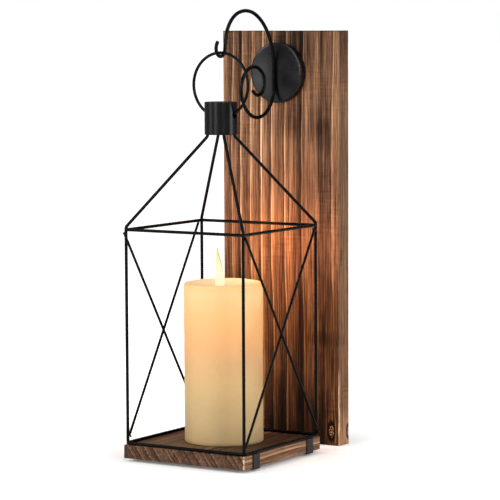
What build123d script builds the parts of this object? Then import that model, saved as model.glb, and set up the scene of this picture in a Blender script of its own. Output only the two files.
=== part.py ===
from build123d import *
import math
import os

# Wall sconce: a wooden backboard with a scrolled hook, a ring, a wire lantern and a moving-flame candle.
# Millimetres. The origin is the centre of the backboard's back face, which lies on the wall.
# +X is to the right as one faces the wall, +Y goes into the wall and +Z is up.

# ---- Driving dimensions ----

BOARD_WIDTH = 133.0
BOARD_HEIGHT = 406.0
BOARD_THICKNESS = 19.0
BOARD_EDGE = 0.8

ROSETTE_Z = 162.0
ROSETTE_RADIUS = 29.5
ROSETTE_DEPTH = 10.0
ROSETTE_WALL = 1.5
STUD_RADIUS = 2.5
STUD_HOLE_RADIUS = 2.75
NUT_ACROSS_FLATS = 8.0
NUT_THICKNESS = 4.0
WASHER_RADIUS = 6.0
WASHER_THICKNESS = 1.0
NUT_POCKET_RADIUS = 9.0
NUT_POCKET_DEPTH = 8.0
STUD_PAST_NUT = 1.0

HANGER_Z = 118.0
HANGER_WIDTH = 16.0
HANGER_HEIGHT = 45.0
HANGER_THICKNESS = 1.5
KEYHOLE_RADIUS = 4.75
KEYHOLE_SLOT_WIDTH = 4.5
KEYHOLE_SLOT_RISE = 12.0
KEYHOLE_DROP = 5.0
KEYHOLE_MARGIN = 1.0
SCREW_HEAD_ROOM = 8.0
HANGER_SCREW_SPACING = 36.0
HANGER_SCREW_RADIUS = 1.5
HANGER_SCREW_HEAD_RADIUS = 3.0
HANGER_SCREW_LENGTH = 12.0

# The hook is one round wire. Each turn is a radius and the angle that it turns through.
HOOK_WIRE_RADIUS = 1.75
HOOK_LEG_LENGTH = 18.6
HOOK_LEG_BOTTOM_Z = 149.7
HOOK_ARCH_TURNS = ((55.2, 63.8), (45.6, 42.8), (33.1, 66.5))
HOOK_DROP_LENGTH = 6.6
HOOK_TIP_TURN = (7.7, 223.0)
HOOK_SCROLL_TURNS = ((30.2, 153.0), (22.5, 166.0), (12.0, 182.0))

RING_RADIUS = 30.5
RING_WIRE_RADIUS = 1.45
RING_SPLIT = 2.0
RING_SEAT_GAP = 0.3

WIRE_RADIUS = 1.5
BRACE_RADIUS = 1.25
POST_OFFSET = 65.2
FRAME_HEIGHT = 203.0
COLLAR_RADIUS = 15.6
COLLAR_WALL = 1.0
COLLAR_HEIGHT = 31.0
COLLAR_RISE = 10.8
COLLAR_HOLE_RADIUS = 3.5
COLLAR_HOLE_DROP = 1.2
COLLAR_EDGE = 0.9
ROD_COLLAR_GAP = 0.1
ROD_STUB = 12.0
ROD_BEND_RADIUS = 4.0
ROD_BEND_RISE = 2.6
ROD_BEND_DROP = 1.6
HANG_TO_TOP_RAIL = 108.6

BASE_WIDTH = 134.8
BASE_DEPTH = 138.0
BASE_THICKNESS = 13.0
BASE_EDGE = 0.8
BOTTOM_BEND_RADIUS = 4.0
STRAP_WIDTH = 11.0
STRAP_THICKNESS = 1.2
STRAP_OFFSET = 48.5
STRAP_RISE = 0.3

# Where each cross brace ends: its side, its layer, then Y and height above the bottom frame at the low end,
# then Y and depth below the top rails at the high end. The wires were set by eye, so no two ends agree.
BRACE_ENDS = {
    "brace_right_outer": (1, "outer", 65.2, 2.5, -65.2, 3.0),
    "brace_right_inner": (1, "inner", -62.5, 6.5, 62.5, 4.0),
    "brace_left_outer": (-1, "outer", 65.2, 3.0, -64.5, 3.0),
    "brace_left_inner": (-1, "inner", -62.5, 6.5, 59.4, 2.3),
}

CANDLE_X = 1.5
CANDLE_RADIUS = 38.0
CANDLE_HEIGHT = 153.0
CANDLE_RIM_EDGE = 2.6
CANDLE_FOOT_EDGE = 1.0
DISH_DEPTH = 4.0
DISH_RADIUS = 33.0
FLAME_HOLE_RADIUS = 7.8
WAX_BORE_RADIUS = 30.0
WAX_ROOF_HEIGHT = 141.0

HOUSING_GAP = 0.1
HOUSING_WALL = 1.4
HOUSING_FOOT = 1.0
HOUSING_FLOOR = 2.5
HOUSING_TOP = 92.0
CELL_TUBE_X = -4.0
CELL_TUBE_RADIUS = 24.0
CELL_TUBE_TOP = 63.0
DOOR_RADIUS = 19.0
DOOR_CLEARANCE = 0.08
DOOR_THICKNESS = 2.0
DOOR_LUG_REACH = 3.0
DOOR_LUG_WIDTH = 6.0
DOOR_LUG_HEIGHT = 1.5
DOOR_NOTCH_GAP = 0.4
DOOR_LOCK_TURN = 45.0
COIN_SLOT = (14.0, 2.0, 1.0)

CELL_RADIUS = 7.25
CELL_LENGTH = 50.0
CELL_SPACING = 15.5
CELL_TIP_RADIUS = 2.75
CELL_TIP_HEIGHT = 1.0
CONTACT_THICKNESS = 0.6
CONTACT_SIZE = (28.0, 12.0)
CONTACT_LIFT = 1.0

SWITCH_X = 24.4
SWITCH_TRAVEL = 4.0
SWITCH_STEM = (3.0, 5.0)
SWITCH_FLANGE = (5.0, 8.0)
SWITCH_FLANGE_THICKNESS = 1.0
SWITCH_RECESS = 0.5
SWITCH_CLEARANCE = 0.1

BOARD_DISC_RADIUS = 29.0
BOARD_DISC_THICKNESS = 1.6
ENGINE_RADIUS = 12.0
ENGINE_WALL = 1.5
ENGINE_TOP = 139.0
COIL_RADII = (3.0, 8.0)
COIL_HEIGHT = 9.0
LED_RADIUS = 1.3
LED_HEIGHT = 6.0
LED_OFFSET = 5.3
PIN_RADIUS = 0.4
PIN_CLEARANCE = 0.05
PIN_HEIGHT = 133.0
MAGNET_RADIUS = 3.2
MAGNET_THICKNESS = 3.5
MAGNET_BOTTOM = 106.5
FLAME_X = -4.0
FLAME_THICKNESS = 2.0
FLAME_STEM_WIDTH = 4.4
FLAME_NECK_HEIGHT = 143.0
FLAME_SHOULDER_HEIGHT = 153.0
FLAME_HALF_WIDTH = 5.2
FLAME_WAIST_HEIGHT = 170.0
FLAME_WAIST_RIGHT = 2.1
FLAME_WAIST_LEFT = -4.4
FLAME_TIP = (-2.6, 187.0)


# ---- The hook's route, on which everything else hangs ----

def walk(start, heading, steps):
    """Follow tangent runs in a plane. A step is a length, or a pair of radius and signed turn."""
    edges = []
    point = Vector(*start)
    for step in steps:
        direction = Vector(math.cos(math.radians(heading)), math.sin(math.radians(heading)))
        if isinstance(step, tuple):
            radius, turn = step
            edge = JernArc(start=point, tangent=direction, radius=radius, arc_size=turn)
            heading += turn
        else:
            edge = Line(point, point + direction * step)
        point = edge @ 1
        edges.append(edge)
    return edges


HOOK_Y = -BOARD_THICKNESS - ROSETTE_DEPTH - HOOK_WIRE_RADIUS
hook_start = (HOOK_Y, HOOK_LEG_BOTTOM_Z)
hook_tip_step = (HOOK_TIP_TURN[0], -HOOK_TIP_TURN[1])
hook_arch = walk(hook_start, 90, [HOOK_LEG_LENGTH, *HOOK_ARCH_TURNS, HOOK_DROP_LENGTH, hook_tip_step])
hook_scroll = walk(hook_start, -90, [(radius, -turn) for radius, turn in HOOK_SCROLL_TURNS])
hook_seat = hook_arch[-1].arc_center - Vector(0, HOOK_TIP_TURN[0])

# ---- Places that follow from the hook ----

LANTERN_Y = hook_seat.X
RING_TOP_Z = hook_seat.Y + HOOK_WIRE_RADIUS + RING_WIRE_RADIUS + RING_SEAT_GAP
RING_Z = RING_TOP_Z - RING_RADIUS
COLLAR_MID_RADIUS = COLLAR_RADIUS - COLLAR_WALL / 2
PIVOT_Z = RING_Z - math.sqrt(RING_RADIUS**2 - COLLAR_MID_RADIUS**2)
TOP_RAIL_Z = PIVOT_Z - HANG_TO_TOP_RAIL
BOTTOM_Z = TOP_RAIL_Z - FRAME_HEIGHT
COLLAR_TOP_Z = PIVOT_Z + COLLAR_RISE
COLLAR_BOTTOM_Z = COLLAR_TOP_Z - COLLAR_HEIGHT
BASE_TOP_Z = BOTTOM_Z - WIRE_RADIUS
BASE_BOTTOM_Z = BASE_TOP_Z - BASE_THICKNESS

LANTERN = Location((0, LANTERN_Y, 0))
CANDLE = Location((CANDLE_X, LANTERN_Y, BASE_TOP_Z))
ENGINE = CANDLE * Pos(FLAME_X, 0, 0)
SIDE_PLANE = Plane(origin=(0, 0, 0), x_dir=(0, 1, 0), z_dir=(1, 0, 0))


def tube(path, radius):
    """A round wire along a path."""
    return sweep(Plane(origin=path @ 0, z_dir=path % 0) * Circle(radius), path=path)


def upright(radius, bottom, top, x=0.0, y=0.0):
    """A cylinder along Z between two heights."""
    return Pos(x, y, (bottom + top) / 2) * Cylinder(radius, top - bottom)


def along_y(radius, front, back, z=0.0):
    """A cylinder along Y between two depths."""
    return Pos(0, (front + back) / 2, z) * Rot(90, 0, 0) * Cylinder(radius, back - front)


def bar(start, end, radius):
    """A straight round wire between two points."""
    return tube(Line(start, end), radius)


# ---- Backboard and its fittings ----

def keyhole_outline(depth, extra=0.0):
    """The keyhole's shape as a solid, its round entry below the slot."""
    entry_z = HANGER_Z - KEYHOLE_DROP
    entry = along_y(KEYHOLE_RADIUS + extra, -depth, 0, z=entry_z)
    slot_end = along_y(KEYHOLE_SLOT_WIDTH / 2 + extra, -depth, 0, z=entry_z + KEYHOLE_SLOT_RISE)
    slot = Pos(0, -depth / 2, entry_z + KEYHOLE_SLOT_RISE / 2) * Box(
        KEYHOLE_SLOT_WIDTH + 2 * extra, depth, KEYHOLE_SLOT_RISE
    )
    return entry + slot_end + slot


def screw_heights():
    return [HANGER_Z - HANGER_SCREW_SPACING / 2, HANGER_Z + HANGER_SCREW_SPACING / 2]


def make_backboard():
    board = Pos(0, -BOARD_THICKNESS / 2, 0) * Box(BOARD_WIDTH, BOARD_THICKNESS, BOARD_HEIGHT)
    board = chamfer(board.faces().sort_by(Axis.Y)[0].edges(), BOARD_EDGE)
    board -= along_y(STUD_HOLE_RADIUS, -BOARD_THICKNESS, 0, z=ROSETTE_Z)
    board -= along_y(NUT_POCKET_RADIUS, -NUT_POCKET_DEPTH, 0, z=ROSETTE_Z)
    recess = Box(HANGER_WIDTH, HANGER_THICKNESS, HANGER_HEIGHT)
    board -= Pos(0, -HANGER_THICKNESS / 2, HANGER_Z) * recess
    board -= keyhole_outline(SCREW_HEAD_ROOM, extra=KEYHOLE_MARGIN)
    for height in screw_heights():
        board -= along_y(HANGER_SCREW_RADIUS, -HANGER_SCREW_LENGTH, 0, z=height)
    return board


def make_keyhole_hanger():
    plate = Pos(0, -HANGER_THICKNESS / 2, HANGER_Z) * Box(HANGER_WIDTH, HANGER_THICKNESS, HANGER_HEIGHT)
    plate -= keyhole_outline(HANGER_THICKNESS)
    for height in screw_heights():
        plate -= countersunk_screw(height)
    return plate


def countersunk_screw(height):
    head = Pos(0, -HANGER_THICKNESS / 2, height) * Rot(-90, 0, 0) * Cone(
        HANGER_SCREW_RADIUS, HANGER_SCREW_HEAD_RADIUS, HANGER_THICKNESS
    )
    shank = along_y(HANGER_SCREW_RADIUS, -HANGER_SCREW_LENGTH, -HANGER_THICKNESS, z=height)
    return head + shank


def make_hanger_screws():
    return [countersunk_screw(height) for height in screw_heights()]


def make_rosette():
    """A shallow pressed cup, open towards the board."""
    front = -BOARD_THICKNESS - ROSETTE_DEPTH
    cup = along_y(ROSETTE_RADIUS, front, -BOARD_THICKNESS, z=ROSETTE_Z)
    cup = fillet(cup.faces().sort_by(Axis.Y)[0].edges(), ROSETTE_WALL)
    return cup - along_y(ROSETTE_RADIUS - ROSETTE_WALL, front + ROSETTE_WALL, -BOARD_THICKNESS, z=ROSETTE_Z)


def make_stud():
    front = -BOARD_THICKNESS - ROSETTE_DEPTH + ROSETTE_WALL
    back = -NUT_POCKET_DEPTH + WASHER_THICKNESS + NUT_THICKNESS + STUD_PAST_NUT
    return along_y(STUD_RADIUS, front, back, z=ROSETTE_Z)


def make_washer():
    front = -NUT_POCKET_DEPTH
    washer = along_y(WASHER_RADIUS, front, front + WASHER_THICKNESS, z=ROSETTE_Z)
    return washer - along_y(STUD_HOLE_RADIUS, front, front + WASHER_THICKNESS, z=ROSETTE_Z)


def make_nut():
    front = -NUT_POCKET_DEPTH + WASHER_THICKNESS
    face = Plane(origin=(0, front, ROSETTE_Z), z_dir=(0, 1, 0))
    corner_radius = NUT_ACROSS_FLATS / math.sqrt(3)
    nut = extrude(face * RegularPolygon(corner_radius, 6), NUT_THICKNESS)
    return nut - along_y(STUD_RADIUS, front, front + NUT_THICKNESS, z=ROSETTE_Z)


def make_hook():
    """The wire runs from the scroll's inner end up the rosette, over the arch and round the upturned tip."""
    backwards = [edge.reversed() for edge in reversed(hook_scroll)]
    route = Wire(backwards + hook_arch)
    return tube(SIDE_PLANE * route, HOOK_WIRE_RADIUS)


# ---- Ring and lantern ----

def make_ring():
    """A split ring: its ends meet inside the collar."""
    turn = 360 - RING_SPLIT
    first = -90 + RING_SPLIT / 2
    front_plane = Plane(origin=(0, LANTERN_Y, RING_Z), x_dir=(1, 0, 0), z_dir=(0, -1, 0))
    return tube(front_plane * CenterArc((0, 0), RING_RADIUS, first, turn), RING_WIRE_RADIUS)


def make_collar():
    """A deep cap with a hole on each side, where the ring passes through."""
    cap = upright(COLLAR_RADIUS, COLLAR_BOTTOM_Z, COLLAR_TOP_Z)
    cap = fillet(cap.faces().sort_by(Axis.Z)[-1].edges(), COLLAR_EDGE)
    cap -= upright(COLLAR_RADIUS - COLLAR_WALL, COLLAR_BOTTOM_Z, COLLAR_TOP_Z - COLLAR_WALL)
    hole_z = PIVOT_Z - COLLAR_HOLE_DROP
    cap -= Pos(0, 0, hole_z) * Rot(0, 90, 0) * Cylinder(COLLAR_HOLE_RADIUS, 2 * COLLAR_RADIUS)
    return LANTERN * cap


def make_corner_rod(side_x, side_y):
    """A stub inside the collar, a roof slant and a post, bent from one wire."""
    stub_radius = COLLAR_RADIUS - COLLAR_WALL - WIRE_RADIUS - ROD_COLLAR_GAP
    inner = stub_radius / math.sqrt(2)
    slant_top = COLLAR_BOTTOM_Z - ROD_BEND_DROP
    slant_bottom = TOP_RAIL_Z + ROD_BEND_RISE
    corners = [
        (side_x * inner, side_y * inner, COLLAR_BOTTOM_Z + ROD_STUB),
        (side_x * inner, side_y * inner, slant_top),
        (side_x * POST_OFFSET, side_y * POST_OFFSET, slant_bottom),
        (side_x * POST_OFFSET, side_y * POST_OFFSET, BOTTOM_Z + WIRE_RADIUS),
    ]
    return LANTERN * tube(FilletPolyline(corners, radius=ROD_BEND_RADIUS), WIRE_RADIUS)


def make_top_rail(across, side):
    """A straight rail between two posts, along X where across is true and else along Y."""
    half = POST_OFFSET - WIRE_RADIUS
    offset = side * POST_OFFSET
    if across:
        return LANTERN * bar((-half, offset, TOP_RAIL_Z), (half, offset, TOP_RAIL_Z), WIRE_RADIUS)
    return LANTERN * bar((offset, -half, TOP_RAIL_Z), (offset, half, TOP_RAIL_Z), WIRE_RADIUS)


def make_bottom_frame():
    """One wire bent into a square. The posts stand on its rounded corners."""
    half = POST_OFFSET + BOTTOM_BEND_RADIUS * (1 - math.sqrt(0.5))
    square = Plane(origin=(0, 0, BOTTOM_Z)) * RectangleRounded(2 * half, 2 * half, BOTTOM_BEND_RADIUS)
    route = square.faces()[0].outer_wire()
    return LANTERN * tube(route, WIRE_RADIUS)


def make_brace(side, layer, low_y, low_rise, high_y, high_drop):
    """A diagonal wire. The outer ones lie on the posts and the inner ones end between them."""
    outer_x = POST_OFFSET + WIRE_RADIUS + BRACE_RADIUS
    x = side * (outer_x if layer == "outer" else outer_x - 2 * BRACE_RADIUS)
    low = (x, low_y, BOTTOM_Z + low_rise)
    high = (x, high_y, TOP_RAIL_Z - high_drop)
    return LANTERN * bar(low, high, BRACE_RADIUS)


def make_base_board():
    middle = (BASE_TOP_Z + BASE_BOTTOM_Z) / 2
    board = Pos(0, 0, middle) * Box(BASE_WIDTH, BASE_DEPTH, BASE_THICKNESS)
    return LANTERN * chamfer(board.edges(), BASE_EDGE)


def make_strap(offset):
    """A flat strip under the base, with its ends turned up to the bottom frame."""
    top = BASE_TOP_Z + STRAP_RISE
    bottom = BASE_BOTTOM_Z - STRAP_THICKNESS
    outer_width = BASE_WIDTH + 2 * STRAP_THICKNESS
    strap = Pos(0, offset, (top + bottom) / 2) * Box(outer_width, STRAP_WIDTH, top - bottom)
    room = Box(BASE_WIDTH, STRAP_WIDTH, top - BASE_BOTTOM_Z)
    return LANTERN * (strap - Pos(0, offset, (top + BASE_BOTTOM_Z) / 2) * room)


# ---- Candle: heights are above the base board's top ----

def make_wax_shell():
    shell = upright(CANDLE_RADIUS, 0, CANDLE_HEIGHT)
    shell = fillet(shell.faces().sort_by(Axis.Z)[-1].edges(), CANDLE_RIM_EDGE)
    shell = chamfer(shell.faces().sort_by(Axis.Z)[0].edges(), CANDLE_FOOT_EDGE)
    dish_sphere = (DISH_RADIUS**2 + DISH_DEPTH**2) / (2 * DISH_DEPTH)
    shell -= Pos(0, 0, CANDLE_HEIGHT - DISH_DEPTH + dish_sphere) * Sphere(dish_sphere)
    shell -= upright(WAX_BORE_RADIUS, 0, WAX_ROOF_HEIGHT)
    return CANDLE * (shell - upright(FLAME_HOLE_RADIUS, 0, CANDLE_HEIGHT, x=FLAME_X))


def door_lugs(reach, width, bottom, top):
    """Two tabs on opposite sides of the battery door."""
    length = 2 * (DOOR_RADIUS + reach)
    tabs = Pos(0, 0, (bottom + top) / 2) * Box(length, width, top - bottom)
    return tabs & upright(DOOR_RADIUS + reach, bottom, top)


def make_housing():
    """The plastic core: an outer tube and a floor with the battery door's seat."""
    outer = WAX_BORE_RADIUS - HOUSING_GAP
    floor_top = HOUSING_FOOT + HOUSING_FLOOR
    body = upright(outer, HOUSING_FOOT, HOUSING_TOP)
    body -= upright(outer - HOUSING_WALL, floor_top, HOUSING_TOP)
    body -= upright(DOOR_RADIUS + DOOR_CLEARANCE, HOUSING_FOOT, floor_top, x=CELL_TUBE_X)
    notches = door_lugs(
        DOOR_LUG_REACH + DOOR_NOTCH_GAP, DOOR_LUG_WIDTH + 2 * DOOR_NOTCH_GAP, HOUSING_FOOT, floor_top
    )
    body -= Pos(CELL_TUBE_X, 0, 0) * Rot(0, 0, DOOR_LOCK_TURN) * notches
    slot_size = (SWITCH_STEM[0] + 2 * SWITCH_CLEARANCE, SWITCH_STEM[1] + SWITCH_TRAVEL + 2 * SWITCH_CLEARANCE)
    body -= Pos(SWITCH_X, 0, (HOUSING_FOOT + floor_top) / 2) * Box(*slot_size, HOUSING_FLOOR)
    return CANDLE * body


def make_battery_tube():
    """A cup over the cells, with its mouth on the core's floor."""
    floor_top = HOUSING_FOOT + HOUSING_FLOOR
    cup = upright(CELL_TUBE_RADIUS, floor_top, CELL_TUBE_TOP + HOUSING_WALL, x=CELL_TUBE_X)
    cup -= upright(CELL_TUBE_RADIUS - HOUSING_WALL, floor_top, CELL_TUBE_TOP, x=CELL_TUBE_X)
    return CANDLE * cup


def make_battery_door():
    """A round twist door with two lugs above the floor and a coin slot underneath."""
    floor_top = HOUSING_FOOT + HOUSING_FLOOR
    lug_bottom = floor_top + DOOR_NOTCH_GAP
    lug_top = lug_bottom + DOOR_LUG_HEIGHT
    door = upright(DOOR_RADIUS, HOUSING_FOOT, HOUSING_FOOT + DOOR_THICKNESS)
    door += upright(DOOR_RADIUS - HOUSING_WALL, HOUSING_FOOT, lug_top)
    door += door_lugs(DOOR_LUG_REACH, DOOR_LUG_WIDTH, lug_bottom, lug_top)
    length, width, depth = COIN_SLOT
    door -= Pos(0, 0, HOUSING_FOOT + depth / 2) * Box(length, width, depth)
    return CANDLE * Pos(CELL_TUBE_X, 0, 0) * door


def cell_bottom():
    """The height of the lower contact's top, where the cells stand."""
    lug_top = HOUSING_FOOT + HOUSING_FLOOR + DOOR_NOTCH_GAP + DOOR_LUG_HEIGHT
    return lug_top + CONTACT_LIFT + CONTACT_THICKNESS


def make_battery(side):
    x = CELL_TUBE_X + side * CELL_SPACING / 2
    bottom = cell_bottom()
    top = bottom + CELL_LENGTH
    cell = upright(CELL_RADIUS, bottom, top, x=x)
    return CANDLE * (cell + upright(CELL_TIP_RADIUS, top, top + CELL_TIP_HEIGHT, x=x))


def make_contact(top):
    plate = Pos(CELL_TUBE_X, 0, top - CONTACT_THICKNESS / 2) * Box(*CONTACT_SIZE, CONTACT_THICKNESS)
    return CANDLE * plate


def make_switch_slider():
    """A sliding button in the floor's slot, kept in by its flange."""
    floor_top = HOUSING_FOOT + HOUSING_FLOOR
    flange_bottom = floor_top + SWITCH_CLEARANCE
    flange_middle = flange_bottom + SWITCH_FLANGE_THICKNESS / 2
    stem = Pos(0, 0, (SWITCH_RECESS + flange_bottom) / 2) * Box(*SWITCH_STEM, flange_bottom - SWITCH_RECESS)
    flange = Pos(0, 0, flange_middle) * Box(*SWITCH_FLANGE, SWITCH_FLANGE_THICKNESS)
    return CANDLE * Pos(SWITCH_X, -SWITCH_TRAVEL / 2, 0) * (stem + flange)


def make_circuit_board():
    return CANDLE * upright(BOARD_DISC_RADIUS, HOUSING_TOP, HOUSING_TOP + BOARD_DISC_THICKNESS)


def make_engine_tube():
    """The tube round the flame's stem, cross-drilled for the pivot pin."""
    bottom = HOUSING_TOP + BOARD_DISC_THICKNESS
    body = upright(ENGINE_RADIUS, bottom, ENGINE_TOP)
    body -= upright(ENGINE_RADIUS - ENGINE_WALL, bottom, ENGINE_TOP)
    reach = ENGINE_RADIUS + ENGINE_WALL
    return ENGINE * (body - along_y(PIN_RADIUS + PIN_CLEARANCE, -reach, reach, z=PIN_HEIGHT))


def make_drive_coil():
    bottom = HOUSING_TOP + BOARD_DISC_THICKNESS
    inner, outer = COIL_RADII
    top = bottom + COIL_HEIGHT
    return ENGINE * (upright(outer, bottom, top) - upright(inner, bottom, top))


def make_led():
    """A small domed lamp in front of the flame's stem."""
    top = ENGINE_TOP + LED_HEIGHT
    lamp = upright(LED_RADIUS, ENGINE_TOP, top, y=-LED_OFFSET)
    return ENGINE * (lamp + Pos(0, -LED_OFFSET, top) * Sphere(LED_RADIUS))


def make_led_bridge():
    """A strip across the engine tube's mouth that carries the lamp."""
    bottom = ENGINE_TOP - CONTACT_THICKNESS
    strip = Box(2 * ENGINE_RADIUS, 2 * LED_RADIUS, CONTACT_THICKNESS)
    strip = Pos(0, -LED_OFFSET, bottom + CONTACT_THICKNESS / 2) * strip
    return ENGINE * (strip & upright(ENGINE_RADIUS - ENGINE_WALL, bottom, ENGINE_TOP))


def make_flame_pin():
    return ENGINE * along_y(PIN_RADIUS, -ENGINE_RADIUS, ENGINE_RADIUS, z=PIN_HEIGHT)


def flame_edge(side, waist_x):
    """One edge of the flame, from the stem over its shoulder and waist to the leaning tip."""
    neck = (side * FLAME_STEM_WIDTH / 2, FLAME_NECK_HEIGHT)
    shoulder = (side * FLAME_HALF_WIDTH, FLAME_SHOULDER_HEIGHT)
    waist = (waist_x, FLAME_WAIST_HEIGHT)
    return Spline([neck, shoulder, waist, FLAME_TIP])


def make_flame():
    """A flat plastic flame on a stem that hangs on the pin."""
    half = FLAME_STEM_WIDTH / 2
    foot = MAGNET_BOTTOM + MAGNET_THICKNESS
    stem = Polyline((-half, FLAME_NECK_HEIGHT), (-half, foot), (half, foot), (half, FLAME_NECK_HEIGHT))
    outline = make_face([flame_edge(1, FLAME_WAIST_RIGHT), flame_edge(-1, FLAME_WAIST_LEFT), *stem.edges()])
    front = Plane(origin=(0, FLAME_THICKNESS / 2, 0), x_dir=(1, 0, 0), z_dir=(0, -1, 0))
    petal = extrude(front * outline, FLAME_THICKNESS)
    pin_hole = along_y(PIN_RADIUS + PIN_CLEARANCE, -FLAME_THICKNESS, FLAME_THICKNESS, z=PIN_HEIGHT)
    return ENGINE * (petal - pin_hole)


def make_flame_magnet():
    return ENGINE * upright(MAGNET_RADIUS, MAGNET_BOTTOM, MAGNET_BOTTOM + MAGNET_THICKNESS)


# ---- Assembly ----

def make_parts():
    cell_floor = cell_bottom()
    parts = {
        "backboard": make_backboard(),
        "keyhole_hanger": make_keyhole_hanger(),
        "hanger_screws": make_hanger_screws(),
        "rosette": make_rosette(),
        "rosette_stud": make_stud(),
        "stud_washer": make_washer(),
        "stud_nut": make_nut(),
        "hook": make_hook(),
        "hanging_ring": make_ring(),
        "collar": make_collar(),
        "bottom_frame": make_bottom_frame(),
        "base_board": make_base_board(),
        "strap_front": make_strap(-STRAP_OFFSET),
        "strap_back": make_strap(STRAP_OFFSET),
        "wax_shell": make_wax_shell(),
        "candle_housing": make_housing(),
        "battery_tube": make_battery_tube(),
        "battery_door": make_battery_door(),
        "battery_left": make_battery(-1),
        "battery_right": make_battery(1),
        "lower_contact": make_contact(cell_floor),
        "upper_contact": make_contact(cell_floor + CELL_LENGTH + CELL_TIP_HEIGHT + CONTACT_THICKNESS),
        "switch_slider": make_switch_slider(),
        "circuit_board": make_circuit_board(),
        "engine_tube": make_engine_tube(),
        "drive_coil": make_drive_coil(),
        "led": make_led(),
        "led_bridge": make_led_bridge(),
        "flame_pin": make_flame_pin(),
        "flame_petal": make_flame(),
        "flame_magnet": make_flame_magnet(),
    }
    sides = {"left": -1, "right": 1}
    depths = {"front": -1, "back": 1}
    for depth_name, depth in depths.items():
        parts[f"top_rail_{depth_name}"] = make_top_rail(True, depth)
        for side_name, side in sides.items():
            parts[f"corner_rod_{depth_name}_{side_name}"] = make_corner_rod(side, depth)
    for side_name, side in sides.items():
        parts[f"top_rail_{side_name}"] = make_top_rail(False, side)
    for name, ends in BRACE_ENDS.items():
        parts[name] = make_brace(*ends)
    return parts


def export_parts(parts):
    os.makedirs("parts", exist_ok=True)
    for name, shape in parts.items():
        solids = shape if isinstance(shape, list) else shape.solids()
        export_step(Compound(children=list(solids)), f"parts/{name}.step")


export_parts(make_parts())
print(f"hang point y {LANTERN_Y:.3f} z {RING_TOP_Z:.3f}, collar pivot z {PIVOT_Z:.3f}")
print(f"top rail z {TOP_RAIL_Z:.3f}, bottom frame z {BOTTOM_Z:.3f}, base top z {BASE_TOP_Z:.3f}")
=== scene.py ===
import math

import bmesh
import bpy
from mathutils import Matrix, Vector, noise


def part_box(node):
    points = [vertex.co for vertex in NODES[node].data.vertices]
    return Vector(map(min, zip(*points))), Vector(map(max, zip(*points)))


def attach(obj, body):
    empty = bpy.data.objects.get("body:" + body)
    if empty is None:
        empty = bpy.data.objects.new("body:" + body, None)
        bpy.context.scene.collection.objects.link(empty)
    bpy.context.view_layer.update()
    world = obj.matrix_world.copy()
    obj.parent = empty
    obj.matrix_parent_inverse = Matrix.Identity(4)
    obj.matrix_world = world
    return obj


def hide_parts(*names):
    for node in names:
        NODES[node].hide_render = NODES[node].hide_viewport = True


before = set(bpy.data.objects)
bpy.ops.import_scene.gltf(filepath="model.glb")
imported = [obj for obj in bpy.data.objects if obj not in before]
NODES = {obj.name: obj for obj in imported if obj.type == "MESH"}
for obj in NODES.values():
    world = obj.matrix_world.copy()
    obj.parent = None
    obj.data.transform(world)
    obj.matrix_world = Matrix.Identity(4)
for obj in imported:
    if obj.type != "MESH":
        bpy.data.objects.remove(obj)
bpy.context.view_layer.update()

MM = 0.001
X, Y, Z = range(3)
CAD_MARGIN = 0.02 * MM
WIRE = 1.5 * MM


def srgb(red, green, blue):
    """A linear colour from 0-255 display values."""
    def linear(value):
        share = value / 255
        return share / 12.92 if share <= 0.04045 else ((share + 0.055) / 1.055) ** 2.4
    return (linear(red), linear(green), linear(blue), 1.0)


# ---- Shader graphs ----

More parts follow.
